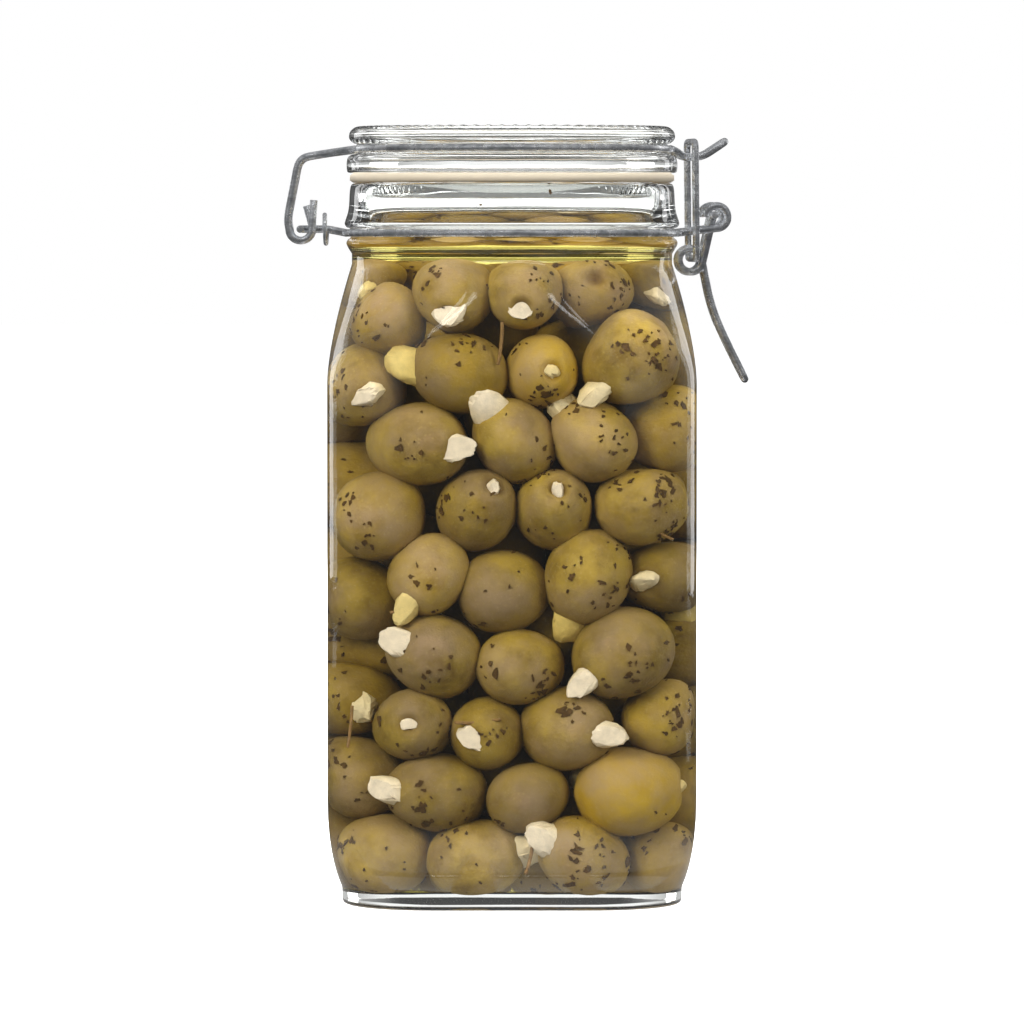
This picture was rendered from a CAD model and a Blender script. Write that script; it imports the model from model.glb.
import math

import bmesh
import bpy
import numpy as np
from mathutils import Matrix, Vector


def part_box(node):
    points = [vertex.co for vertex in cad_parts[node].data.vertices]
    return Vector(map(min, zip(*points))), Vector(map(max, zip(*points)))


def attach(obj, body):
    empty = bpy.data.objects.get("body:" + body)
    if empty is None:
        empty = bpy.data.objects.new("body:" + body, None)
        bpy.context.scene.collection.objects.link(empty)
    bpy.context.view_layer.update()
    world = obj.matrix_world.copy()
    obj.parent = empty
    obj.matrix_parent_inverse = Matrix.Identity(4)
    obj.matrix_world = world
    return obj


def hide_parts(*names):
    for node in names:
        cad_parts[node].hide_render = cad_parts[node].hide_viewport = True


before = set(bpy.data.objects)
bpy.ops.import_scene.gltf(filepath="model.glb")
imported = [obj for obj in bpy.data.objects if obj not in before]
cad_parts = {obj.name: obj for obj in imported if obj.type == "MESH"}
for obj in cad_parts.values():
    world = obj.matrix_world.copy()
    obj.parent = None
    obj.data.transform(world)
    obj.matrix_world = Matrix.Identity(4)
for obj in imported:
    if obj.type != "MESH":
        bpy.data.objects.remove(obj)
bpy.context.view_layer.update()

bl_info = {
    "name": "Clip-top jar of stuffed olives",
    "version": (1, 0, 0),
    "blender": (4, 5, 0),
    "location": "3D View > Sidebar > Olive jar",
    "description": "Builds a clip-top glass jar of stuffed green olives in oil with herbs",
    "category": "Object",
}

MM = 0.001
JAR_LOW, JAR_HIGH = [np.array(corner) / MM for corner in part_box("jar")]
LID_TOP, LEVEL_Z, HEAP_Z = [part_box(name)[1][2] / MM for name in ("lid", "oil", "olives")]

# ---- sizes of the glass, in millimetres, as in the part's source ----

HALF_W = (JAR_HIGH[0] - JAR_LOW[0]) / 2
RIM_Z = JAR_HIGH[2]
CORNER_R = 24.0
SHOULDER_Z = 150.0
SHOULDER_H = 34.0
WAIST_Z = SHOULDER_Z + SHOULDER_H
WAIST_R = 46.4
WALL_T = 3.2
BASE_T = 5.5
MOUTH_R = 42.4
BASE_IN = 9.5
BASE_CURVE_H = 30.0
FLOOR_R = 9.0
GASKET_T = 2.8
LID_Z = RIM_Z + GASKET_T
LID_R = 47.9
LID_WIRE_Z = LID_Z + 7.0
LID_WIRE_R = 46.05
GROOVE_Z = WAIST_Z + 9.0
NECK_WIRE_R = 48.05
WIRE_D = 2.2
LINK_D = 2.0
CLASP_TURN = 6.0
PIVOT_X = WAIST_R + 12.0
PIVOT_Z = GROOVE_Z + 5.2
BAR_X = PIVOT_X - 5.7
BAR_Z = PIVOT_Z - 12.6
EYE_X = BAR_X - 0.8
EYE_Z = BAR_Z - 0.5
EYE_R = 3.4
LOOP_X = PIVOT_X + 0.6
LOOP_Z = PIVOT_Z - 0.6
LOOP_R = 3.25
TONGUE_X = BAR_X - 0.4
TONGUE_Z = LID_WIRE_Z - 2.4
CROSS_Z = TONGUE_Z + WIRE_D / 2 + LINK_D / 2 + 2.3
HANDLE_Y = 1.25
ARM_Y = 3.6
LOOP_Y = 6.2
PIN_END_Y = 7.6
LINK_Y = 9.3
HANDLE_L = 34.0
HINGE_X = WAIST_R + 14.8
HINGE_Z = GROOVE_Z + 1.1
HINGE_R = 3.3
HINGE_Y = 5.0
HINGE_PIN_Y = 7.0
TAIL_Y = 2.2
COLLAR_X = 53.5
COLLAR_WIRE = 1.3
OUTSIDE_COUNT = 176
OIL_INTO_GLASS = 0.4
FOOT_H = 5.5
FOOT_ROUND = 1.5
FOOT_INSET = 4.05
FOOT_SLOPE = 0.06
FOOT_UNDER = 3.4

# ---- how a cut wire ends: the width of its cut face, as a share of the wire's, and its bevel ----

END_SHARE = 0.43
BEVEL = 0.12

# ---- an olive as three balls: their radius as a share of its own ----

END_BALL = 0.84
MID_BALL = 0.985
SETTLE_STEPS = 260
DRIFT_STEPS = 170
FINE_OLIVE = (22, 28)
PLAIN_OLIVE = (12, 16)
BEHIND = 9
EDGE_X = 33


def paint(red, green, blue):
    """Colour as painted, 0 to 255, turned to the renderer's light values."""
    parts = []
    for one in (red, green, blue):
        share = one / 255
        parts.append(share / 12.92 if share <= 0.04045 else ((share + 0.055) / 1.055) ** 2.4)
    return (*parts, 1.0)


# ---- what a user may change ----

def share_of_one(name, text, start):
    return bpy.props.FloatProperty(
        name=name, description=text, default=start, min=0, max=1, subtype="FACTOR")


def distance_of(name, text, start, least, most):
    return bpy.props.FloatProperty(
        name=name, description=text, default=start, min=least, max=most, unit="LENGTH", subtype="DISTANCE")


def colour_of(name, text, red, green, blue):
    return bpy.props.FloatVectorProperty(
        name=name, description=text, default=paint(red, green, blue), size=4, min=0, max=1, subtype="COLOR")


class GlassFinish(bpy.types.PropertyGroup):
    ripple: share_of_one("Ripple", "How uneven the pressed glass is", 0.16)
    haze: share_of_one("Haze", "How rough the smudged parts of the glass are", 0.03)
    tint: colour_of("Tint", "Colour of the clear glass", 252, 254, 252)
    recess: distance_of("Recess", "Depth of the hollow under the base", 0.0012, 0, 0.003)
    rubber: colour_of("Rubber", "Colour of the sealing ring", 212, 199, 176)


class WireFinish(bpy.types.PropertyGroup):
    bright: colour_of("Bright zinc", "Colour of the clean zinc", 226, 228, 231)
    dull: colour_of("Dull zinc", "Colour of the tarnished zinc", 140, 144, 150)
    width: distance_of("Wire", "Thickness of the closure's wire", WIRE_D * MM, 0.0018, 0.0024)


class OilFinish(bpy.types.PropertyGroup):
    colour: bpy.props.FloatVectorProperty(
        name="Oil", description="Light that the oil lets through", default=(0.72, 0.64, 0.0, 1.0),
        size=4, min=0, max=1, subtype="COLOR")
    strength: bpy.props.FloatProperty(
        name="Strength", description="How strongly each metre of oil takes up light", default=27.0,
        min=0, max=200)
    meniscus: distance_of("Meniscus", "How far the oil climbs the glass", 0.0009, 0, 0.003)


class OliveFinish(bpy.types.PropertyGroup):
    count: bpy.props.IntProperty(
        name="Olives", description="Number of olives in the jar", default=156, min=42, max=170)
    seed: bpy.props.IntProperty(name="Seed", description="Another shuffle of the olives", default=7, min=0)
    green: colour_of("Green", "Colour of the sunlit side of the skin", 170, 142, 62)
    shade: colour_of("Shade", "Colour of the darker mottling", 120, 95, 38)
    bloom: colour_of("Bloom", "Greyish bloom on the skin", 156, 131, 99)
    gold: colour_of("Gold", "Colour of the golden olives", 182, 146, 38)
    nut: colour_of("Nut", "Colour of the blanched nuts", 242, 224, 198)
    old_nut: colour_of("Oiled nut", "Colour of the nuts that have taken up oil", 230, 202, 122)
    herb: colour_of("Herb", "Colour of the dried herbs", 92, 66, 28)
    flakes: bpy.props.IntProperty(
        name="Herb flakes", description="Number of herb flakes", default=2400, min=0, max=5000)


class StageFinish(bpy.types.PropertyGroup):
    floor: colour_of("Floor", "Colour of the floor", 250, 250, 250)
    key: bpy.props.FloatProperty(
        name="Key lamp", description="Power of the large lamp", default=48.0, min=0, subtype="POWER")
    surround: bpy.props.FloatProperty(
        name="Surround", description="Brightness of the room on the olives", default=0.4, min=0, max=4)


PORE = paint(196, 176, 108)
CUT_END = paint(150, 118, 78)
HEAP_DARK = paint(70, 56, 28)
STEM = paint(150, 114, 66)


# ---- outlines of the glass ----

def rise(z):
    return np.clip((z - SHOULDER_Z) / SHOULDER_H, 0, 1)


def tuck(z):
    return 1 - np.sqrt(1 - np.square(1 - np.clip(z / BASE_CURVE_H, 0, 1)))


def out_half(z):
    return HALF_W - (HALF_W - WAIST_R) * rise(z) ** 1.6 - BASE_IN * tuck(z)


def out_corner(z):
    share = rise(z)
    ease = share * share * (3 - 2 * share)
    half = out_half(z)
    return np.minimum(CORNER_R + (half - CORNER_R) * ease, half)


def foot_half(z):
    """Half width of the upright edge of the jar's thick foot, rounded under at the very bottom."""
    under = np.clip(1 - z / FOOT_ROUND, 0, 1)
    down = np.clip(FOOT_H - z, 0, 4)
    inset = FOOT_INSET + FOOT_SLOPE * down + FOOT_UNDER * (1 - math.sqrt(1 - under * under))
    return HALF_W - inset if z < FOOT_H else 0.0


def in_half(z, depth):
    """Half width of a skin lying that depth inside the jar's outside, rounded into the floor."""
    back = 1 - np.clip((z - BASE_T) / FLOOR_R, 0, 1)
    return out_half(z) - depth - FLOOR_R * (1 - np.sqrt(np.maximum(1 - back * back, 0)))


def in_corner(z, depth):
    half = in_half(z, depth)
    return np.minimum(np.maximum(out_corner(z) - depth * (1 - rise(z)), 4), half)


def outline(half, corner, z, count):
    """A ring of points at even steps round a rounded square, from the middle of its right side."""
    flat = half - corner
    bend = corner * math.pi / 2
    quarter = 2 * flat + bend
    points = []
    for step in range(count):
        way = step * 4 * quarter / count
        turn = int(way // quarter) % 4
        way = way - (way // quarter) * quarter
        if way < flat:
            x, y = half, way
        elif way < flat + bend:
            angle = (way - flat) / corner
            x = flat + corner * math.cos(angle)
            y = flat + corner * math.sin(angle)
        else:
            x, y = half - corner - (way - flat - bend), half
        for _ in range(turn):
            x, y = -y, x
        points.append((x, y, z))
    return np.array(points)


def soften(path, times=2):
    """Cuts the corners of a line of points, keeping its two ends."""
    path = [np.array(one, float) for one in path]
    for _ in range(times):
        fresh = [path[0]]
        for a, b in zip(path, path[1:]):
            fresh.append(a * 0.75 + b * 0.25)
            fresh.append(a * 0.25 + b * 0.75)
        fresh.append(path[-1])
        path = fresh
    return path


def unit(way):
    return way / np.linalg.norm(way)


def square_to(way, hint):
    """Two directions square to a way and to each other."""
    side = unit(np.cross(way, hint))
    return side, np.cross(way, side)


def turns_round(count):
    return np.arange(count) * 2 * math.pi / count


def ring_at(radius, turns, height):
    return np.stack([radius * np.cos(turns), radius * np.sin(turns), height], 1)


def band(low, high, count):
    """Faces between two rings of points, which are counted from low and from high."""
    steps = [(i, (i + 1) % count) for i in range(count)]
    return [(low + i, low + j, high + j, high + i) for i, j in steps]


def skin(rings, low_mid, high_mid):
    """Points and faces of a closed skin over rings of points, with a fan at each end."""
    count = len(rings[0])
    faces = []
    for k in range(len(rings) - 1):
        faces += band(k * count, (k + 1) * count, count)
    points = np.concatenate([*rings, [low_mid, high_mid]])
    low = count * len(rings)
    top = count * (len(rings) - 1)
    for i in range(count):
        j = (i + 1) % count
        faces.append((low, j, i))
        faces.append((low + 1, top + i, top + j))
    return points, faces


def turned_round(profile, count):
    """Points and faces of a turned piece; the profile runs from the axis, round and back to the axis."""
    turns = turns_round(count)
    rings = []
    for radius, z in profile[1:-1]:
        rings.append(ring_at(radius, turns, np.full(count, z)))
    return skin(rings, (0, 0, profile[0][1]), (0, 0, profile[-1][1]))


# ---- wires ----

def round_off(path, cut, steps=6):
    """The path with each inner corner bent round."""
    path = [np.array(one, float) for one in path]
    fresh = [path[0]]
    for before, here, after in zip(path, path[1:], path[2:]):
        back = before - here
        on = after - here
        a = here + unit(back) * min(cut, np.linalg.norm(back) * 0.49)
        b = here + unit(on) * min(cut, np.linalg.norm(on) * 0.49)
        for k in range(steps + 1):
            u = k / steps
            fresh.append(a * (1 - u) ** 2 + here * 2 * u * (1 - u) + b * u * u)
    fresh.append(path[-1])
    return fresh


def circle_up(centre, radius, start, sweep, steps):
    """Points on an upright circle, angles in degrees from +X towards +Z."""
    angles = np.radians(start + sweep * np.arange(steps + 1) / steps)
    return [np.array(centre) + (radius * math.cos(a), 0, radius * math.sin(a)) for a in angles]


def circle_level(radius, z, start, end, steps):
    angles = np.radians(start + (end - start) * np.arange(steps + 1) / steps)
    return [np.array((radius * math.cos(a), radius * math.sin(a), z)) for a in angles]


def to_clasp(path):
    """Points given in the clasp's own plane, turned to where the clasp stands."""
    turn = math.radians(CLASP_TURN)
    c, s = math.cos(turn), math.sin(turn)
    return [np.array((p[0] * c - p[1] * s, p[0] * s + p[1] * c, p[2])) for p in path]


def leave(y, radius):
    return math.degrees(math.asin(y / radius))


def wire(path, width, sides=16):
    """Points, faces and distance along a round wire with square-cut ends."""
    clean = [path[0]]
    for one in path[1:]:
        if np.linalg.norm(one - clean[-1]) > 0.05:
            clean.append(one)
    path = np.array(clean, float)
    ways = np.gradient(path, axis=0)
    ways = ways / np.linalg.norm(ways, axis=1)[:, None]
    travel = np.concatenate([[0], np.cumsum(np.linalg.norm(np.diff(path, axis=0), axis=1))])
    side = np.cross(ways[0], (0.31, 0.87, 0.42))
    turns = turns_round(sides)
    rings = []
    reach = []
    last = len(path) - 1
    for k, way in enumerate(ways):
        side = unit(side - way * side.dot(way))
        up = np.cross(way, side)
        ring = np.outer(np.cos(turns), side) + np.outer(np.sin(turns), up)
        if k == 0:
            rings.append(path[k] + ring * width * END_SHARE)
            rings.append(path[k] + way * BEVEL + ring * width / 2)
            reach += [0, BEVEL]
        elif k == last:
            rings.append(path[k] - way * BEVEL + ring * width / 2)
            rings.append(path[k] + ring * width * END_SHARE)
            reach += [travel[k] - BEVEL, travel[k]]
        else:
            rings.append(path[k] + ring * width / 2)
            reach.append(travel[k])
    points, faces = skin(rings, path[0], path[-1])
    along = np.repeat(reach, sides)
    return points, faces, np.concatenate([along, [0, travel[-1]]])


def clasp_side(side, reaches):
    """The turn at which a wire leaves its circle for the clasp, coming round from the back."""
    return CLASP_TURN + reaches if side > 0 else 360 + CLASP_TURN - reaches


def lid_wire_half(side):
    """From the short end at the hinge, round the hinge pin and the lid, to the tip of the tongue."""
    curl = np.array((-HINGE_X, side * HINGE_Y, HINGE_Z))
    leaves = leave(13, LID_WIRE_R)
    reaches = leave(4.6, LID_WIRE_R)
    start = 180 - side * leaves
    end = clasp_side(side, reaches)
    short = [curl + (HINGE_R - 0.6 - 1.2 * side, 0, 7.6 - side * 0.8)]
    ring = circle_level(LID_WIRE_R, LID_WIRE_Z, start, end, 72)
    arm = round_off([
        circle_up(curl, HINGE_R, 176, 0, 1)[0] + (0, 0, -0.2), curl + (-HINGE_R - 0.5, 0, 3),
        curl + (-0.4, 0, LID_WIRE_Z - HINGE_Z - 2.6),
        np.array((-LID_WIRE_R - 7, side * (HINGE_Y + 1), LID_WIRE_Z - 1.2)), ring[0]], 3.2)
    tongue = round_off([ring[-1]] + to_clasp([
        (LID_WIRE_R + 1.4, side * 4.1, LID_WIRE_Z - 0.7), (TONGUE_X - 2.2, side * 2.4, TONGUE_Z),
        (TONGUE_X + 3, side * 2.4, TONGUE_Z + 0.1), (TONGUE_X + 9.2, side * 2.4, TONGUE_Z + 4.2),
        (TONGUE_X + 9.8, 0, TONGUE_Z + 4.6)]), 2.6)
    return short + circle_up(curl, HINGE_R, 4, -172, 24)[:-1] + arm[1:] + ring[1:] + tongue[1:]


def neck_wire_path(side):
    """From the hinge pin, along the tail, half round the neck, to the loop for the lever's pin."""
    tail = leave(TAIL_Y, NECK_WIRE_R)
    reaches = leave(LOOP_Y, NECK_WIRE_R)
    end = clasp_side(side, reaches)
    ring = circle_level(NECK_WIRE_R, GROOVE_Z, 180 - side * tail, end, 90)
    loop = to_clasp(circle_up((LOOP_X, side * LOOP_Y, LOOP_Z), LOOP_R, -90, 270, 36))
    tails = round_off([
        (-HINGE_X, side * HINGE_PIN_Y, HINGE_Z), (-HINGE_X, side * TAIL_Y, HINGE_Z),
        (-COLLAR_X, side * TAIL_Y, HINGE_Z), ring[0], ring[1]], 1.6)
    out = round_off([ring[-2], ring[-1], loop[0] * 0.995 + ring[-1] * 0.005, loop[1]], 1.2)
    return tails[:-1] + ring[1:-2] + out[:-1] + loop[1:]


def lever_half(side):
    """From the end of the lever's pin, down the arm, round the eye and down the handle."""
    coil = circle_up((EYE_X, 0, EYE_Z), EYE_R, -13, -331, 48)
    for k, one in enumerate(coil):
        share = k / 48
        one[1] = side * (ARM_Y - (ARM_Y - HANDLE_Y) * share)
    arm = round_off([(PIVOT_X, side * PIN_END_Y, PIVOT_Z), (PIVOT_X, side * ARM_Y, PIVOT_Z), coil[0]], 0.9)
    drops = ((4.3, 0.13), (5.7, 0.33), (7.6, 0.5), (10.9, 0.71), (15.7, 0.99))
    handle = round_off(
        [coil[-1]] + [(EYE_X + x, side * HANDLE_Y, EYE_Z - HANDLE_L * down) for x, down in drops]
        + [(EYE_X + 16.2, 0, EYE_Z - HANDLE_L - 0.6)], 3, 4)
    return arm + coil[1:] + handle[1:]


# ---- small builders ----

def new_piece(name, points, faces, material, body, values=None, smooth=True):
    """A mesh object made of points in millimetres, riding on a body of the frame."""
    mesh = bpy.data.meshes.new(name)
    mesh.from_pydata((np.asarray(points) * MM).tolist(), [], faces)
    mesh.update()
    for key, numbers in (values or {}).items():
        layer = mesh.attributes.new(key, "FLOAT", "POINT")
        layer.data.foreach_set("value", np.asarray(numbers, np.float32))
    mesh.polygons.foreach_set("use_smooth", [smooth] * len(mesh.polygons))
    mesh.materials.append(material)
    piece = bpy.data.objects.new(name, mesh)
    bpy.context.scene.collection.objects.link(piece)
    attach(piece, body)
    return piece


def join(parts):
    """One set of points, faces and values from several."""
    points, faces, values, start = [], [], [], 0
    for more, sides, numbers in parts:
        points.append(more)
        faces += [tuple(i + start for i in one) for one in sides]
        values.append(numbers)
        start += len(more)
    return np.concatenate(points), faces, np.concatenate(values)


# ---- shared effects ----

def feed(tree, given, socket):
    """Joins another node's output to a socket, or sets the socket to a plain value."""
    if isinstance(given, bpy.types.NodeSocket):
        tree.links.new(given, socket)
    else:
        socket.default_value = given


def node(tree, kind, sockets=None, **settings):
    """Adds a node with its settings, and fills its sockets with values or other nodes' outputs."""
    fresh = tree.nodes.new(kind)
    for key, value in settings.items():
        setattr(fresh, key, value)
    for key, given in (sockets or {}).items():
        feed(tree, given, fresh.inputs[key])
    return fresh


def reckon(tree, operation, *given, clamp=False):
    sockets = dict(enumerate(given))
    return node(tree, "ShaderNodeMath", sockets, operation=operation, use_clamp=clamp).outputs[0]


def ranged(tree, value, low, high, start=0.0, end=1.0, kind="LINEAR"):
    """A value between start and end, turned into one between low and high."""
    sockets = {"Value": value, "From Min": start, "From Max": end, "To Min": low, "To Max": high}
    return node(tree, "ShaderNodeMapRange", sockets, interpolation_type=kind).outputs["Result"]


def blended(tree, share, first, second, kind="MIX"):
    sockets = {"Factor": share, "A": first, "B": second}
    return node(tree, "ShaderNodeMix", sockets, data_type="RGBA", blend_type=kind).outputs["Result"]


def object_place(tree):
    return node(tree, "ShaderNodeTexCoord").outputs["Object"]


def point_value(tree, name):
    """The numbers that a mesh keeps under this name, point by point."""
    return node(tree, "ShaderNodeAttribute", attribute_name=name).outputs["Fac"]


def darker(colour, share):
    return (*[part * share for part in colour[:3]], 1.0)


def new_group(name, inputs, outputs):
    """An empty node group; an input that starts with four numbers is a colour."""
    group = bpy.data.node_groups.new(name, "ShaderNodeTree")
    for label, start in inputs.items():
        kind = "NodeSocketColor" if isinstance(start, tuple) else "NodeSocketFloat"
        group.interface.new_socket(label, in_out="INPUT", socket_type=kind).default_value = start
    for label, kind in outputs.items():
        group.interface.new_socket(label, in_out="OUTPUT", socket_type=kind)
    return group, group.nodes.new("NodeGroupInput").outputs, group.nodes.new("NodeGroupOutput").inputs


def mottle_group():
    """Two colours blended in soft, uneven patches, with the patches as a mask."""
    if "Mottle" in bpy.data.node_groups:
        return bpy.data.node_groups["Mottle"]
    group, given, gives = new_group(
        "Mottle",
        {"Dark": (0, 0, 0, 1), "Light": (1, 1, 1, 1), "Scale": 200.0, "Contrast": 1.0, "Shift": 0.0},
        {"Colour": "NodeSocketColor", "Mask": "NodeSocketFloat"})
    middle = 0.5
    noise = node(group, "ShaderNodeTexNoise", {
        "Vector": object_place(group), "Scale": given["Scale"], "Detail": 5.0, "Roughness": 0.62})
    lower = reckon(group, "SUBTRACT", noise.outputs["Fac"], middle)
    times = reckon(group, "MULTIPLY", lower, given["Contrast"])
    moved = reckon(group, "ADD", times, given["Shift"])
    mask = reckon(group, "ADD", moved, middle, clamp=True)
    feed(group, blended(group, mask, given["Dark"], given["Light"]), gives["Colour"])
    feed(group, mask, gives["Mask"])
    return group


def ripple_group():
    """Slow waves and fine specks of a surface, as a height."""
    if "Ripple" in bpy.data.node_groups:
        return bpy.data.node_groups["Ripple"]
    group, given, gives = new_group(
        "Ripple", {"Waves": 40.0, "Grain": 600.0, "Grain share": 0.1}, {"Height": "NodeSocketFloat"})
    place = object_place(group)
    slow, fine = [
        node(group, "ShaderNodeTexNoise", {"Vector": place, "Scale": given[scale], "Detail": detail})
        for scale, detail in (("Waves", 1.0), ("Grain", 3.0))]
    blend = node(group, "ShaderNodeMix", {
        "Factor": given["Grain share"], "A": slow.outputs["Fac"], "B": fine.outputs["Fac"]},
        data_type="FLOAT")
    feed(group, blend.outputs["Result"], gives["Height"])
    return group


def mottle(tree, **values):
    """The shared mottling, with this material's own values."""
    return node(tree, "ShaderNodeGroup", values, node_tree=mottle_group()).outputs


def ripple(tree, waves, grain, share):
    """The shared ripples, with this material's own values."""
    values = {"Waves": waves, "Grain": grain, "Grain share": share}
    return node(tree, "ShaderNodeGroup", values, node_tree=ripple_group()).outputs["Height"]


def new_material(name, **values):
    """An empty material with a plain shader, whose sockets take the values."""
    material = bpy.data.materials.new(name)
    material.use_nodes = True
    tree = material.node_tree
    tree.nodes.clear()
    out = node(tree, "ShaderNodeOutputMaterial")
    sockets = {key.replace("_", " "): value for key, value in values.items()}
    return material, tree, out, node(tree, "ShaderNodeBsdfPrincipled", sockets)


def bump_from(tree, height, shader, strength, distance):
    bump = node(tree, "ShaderNodeBump", {"Strength": strength, "Distance": distance, "Height": height})
    feed(tree, bump.outputs["Normal"], shader.inputs["Normal"])


def let_lamps_through(tree, shader, out):
    """Lamp light and soft light pass straight through a clear material, so that what is inside is lit."""
    path = node(tree, "ShaderNodeLightPath").outputs
    either = reckon(tree, "MAXIMUM", path["Is Shadow Ray"], path["Is Diffuse Ray"])
    clear = node(tree, "ShaderNodeBsdfTransparent")
    mix = node(tree, "ShaderNodeMixShader", {0: either, 1: shader.outputs[0], 2: clear.outputs[0]})
    feed(tree, mix.outputs[0], out.inputs["Surface"])


def clear_glass(name, finish, waves):
    """Pressed clear glass with faint ripples and smudges."""
    material, tree, out, shader = new_material(name, Base_Color=finish.tint, IOR=1.5)
    shader.inputs["Transmission Weight"].default_value = 1.0
    smudge = mottle(tree, Scale=55.0, Contrast=3.0, Shift=-0.25)
    feed(tree, ranged(tree, smudge["Mask"], 0.0, finish.haze), shader.inputs["Roughness"])
    bump_from(tree, ripple(tree, waves, 420.0, 0.02), shader, finish.ripple, 0.002)
    let_lamps_through(tree, shader, out)
    return material


def joined_up(parts, colour, mask, rough, height, bump):
    """A material that isn't clear, with its colour, roughness by a mask, and bumps by a height."""
    material, tree, out, shader = parts
    feed(tree, colour, shader.inputs["Base Color"])
    feed(tree, ranged(tree, mask, *rough), shader.inputs["Roughness"])
    bump_from(tree, height, shader, *bump)
    feed(tree, shader.outputs[0], out.inputs["Surface"])
    return material


def solid_finish(name, tones, rough, waves, bump):
    """A mottled material: its tones, roughness, ripples and depth of bumps."""
    parts = new_material(name)
    tone = mottle(parts[1], **tones)
    return joined_up(parts, tone["Colour"], tone["Mask"], rough, ripple(parts[1], *waves), bump)


def seal_rubber(finish):
    tones = {"Dark": darker(finish.rubber, 0.86), "Light": finish.rubber, "Scale": 260.0, "Contrast": 1.4}
    return solid_finish("Sealing rubber", tones, (0.45, 0.65), (300.0, 1500.0, 0.4), (0.25, 0.0003))


def dried_herb(name, light, share, scale):
    tones = {"Dark": darker(light, share), "Light": light, "Scale": scale, "Contrast": 3.0}
    return solid_finish(name, tones, (0.55, 0.75), (700.0, 2500.0, 0.5), (0.5, 0.0003))


def zinc_wire(finish):
    """Zinc-coated wire: drawn streaks along it, and dull tarnish in patches."""
    parts = new_material("Zinc wire", Metallic=0.82)
    tree = parts[1]
    large = node(tree, "ShaderNodeVectorMath", {0: object_place(tree), "Scale": 900.0}, operation="SCALE")
    apart = node(tree, "ShaderNodeSeparateXYZ", {0: large.outputs[0]}).outputs
    along = reckon(tree, "MULTIPLY", point_value(tree, "along"), 0.35)
    spot = node(tree, "ShaderNodeCombineXYZ", {0: along, 1: apart["Z"], 2: apart["Y"]})
    noise = node(tree, "ShaderNodeTexNoise", {
        "Vector": spot.outputs[0], "Scale": 1.0, "Detail": 4.0, "Roughness": 0.7})
    streak = noise.outputs["Fac"]
    tarnish = mottle(tree, Dark=finish.dull, Light=finish.bright, Scale=170.0, Contrast=2.6, Shift=0.1)
    shade = ranged(tree, streak, 0.55, 1.0, 0.35, 0.6)
    grey = node(tree, "ShaderNodeCombineColor", {0: shade, 1: shade, 2: shade}).outputs["Color"]
    colour = blended(tree, 0.8, tarnish["Colour"], grey, "MULTIPLY")
    return joined_up(parts, colour, tarnish["Mask"], (0.42, 0.2), streak, (0.3, 0.00012))


def herb_oil(finish):
    """Clear oil that takes up blue light with depth."""
    material, tree, out, shader = new_material(
        "Herb oil", Base_Color=(1.0, 1.0, 1.0, 1.0), Roughness=0.0, IOR=1.47)
    shader.inputs["Transmission Weight"].default_value = 1.0
    bump_from(tree, ripple(tree, 70.0, 300.0, 0.05), shader, 0.05, 0.001)
    let_lamps_through(tree, shader, out)
    volume = node(tree, "ShaderNodeVolumeAbsorption", {"Color": finish.colour, "Density": finish.strength})
    feed(tree, volume.outputs[0], out.inputs["Volume"])
    return material


def olive_skin(finish):
    """Matt green skin: mottling, grey bloom, pale pores, golden olives and a darker cut end."""
    parts = new_material("Olive skin", Specular_IOR_Level=0.25)
    tree = parts[1]
    base = mottle(tree, Dark=finish.shade, Light=finish.green, Scale=85.0, Contrast=3.4)
    golden = blended(tree, point_value(tree, "gold"), base["Colour"], finish.gold)
    bloom = mottle(tree, Scale=48.0, Contrast=4.2, Shift=-0.1)["Mask"]
    bloomed = blended(tree, reckon(tree, "MULTIPLY", bloom, 0.8), golden, finish.bloom)
    pores = node(tree, "ShaderNodeTexVoronoi", {
        "Vector": object_place(tree), "Scale": 620.0, "Randomness": 1.0})
    dot = ranged(tree, pores.outputs["Distance"], 0.16, 0.0, 0.1, 0.26)
    dotted = blended(tree, dot, bloomed, PORE)
    bright = ranged(tree, point_value(tree, "tone"), 0.78, 1.16)
    toned = node(tree, "ShaderNodeHueSaturation", {"Value": bright, "Color": dotted})
    ended = blended(tree, point_value(tree, "cut"), toned.outputs["Color"], CUT_END, "MULTIPLY")
    height = ripple(tree, 240.0, 1300.0, 0.35)
    return joined_up(parts, ended, bloom, (0.42, 0.62), height, (0.6, 0.0009))


def nut_flesh(finish):
    """Blanched nut: creamy, with darker creases; some have taken up oil."""
    parts = new_material("Nut flesh")
    tree = parts[1]
    clean = mottle(
        tree, Dark=darker(finish.nut, 0.72), Light=finish.nut, Scale=420.0, Contrast=2.2, Shift=0.15)
    soaked = mottle(
        tree, Dark=darker(finish.old_nut, 0.7), Light=finish.old_nut, Scale=420.0, Contrast=2.0, Shift=0.1)
    colour = blended(tree, point_value(tree, "oily"), clean["Colour"], soaked["Colour"])
    height = ripple(tree, 500.0, 1800.0, 0.4)
    return joined_up(parts, colour, clean["Mask"], (0.4, 0.6), height, (0.5, 0.0005))


# ---- the olives ----

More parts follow.
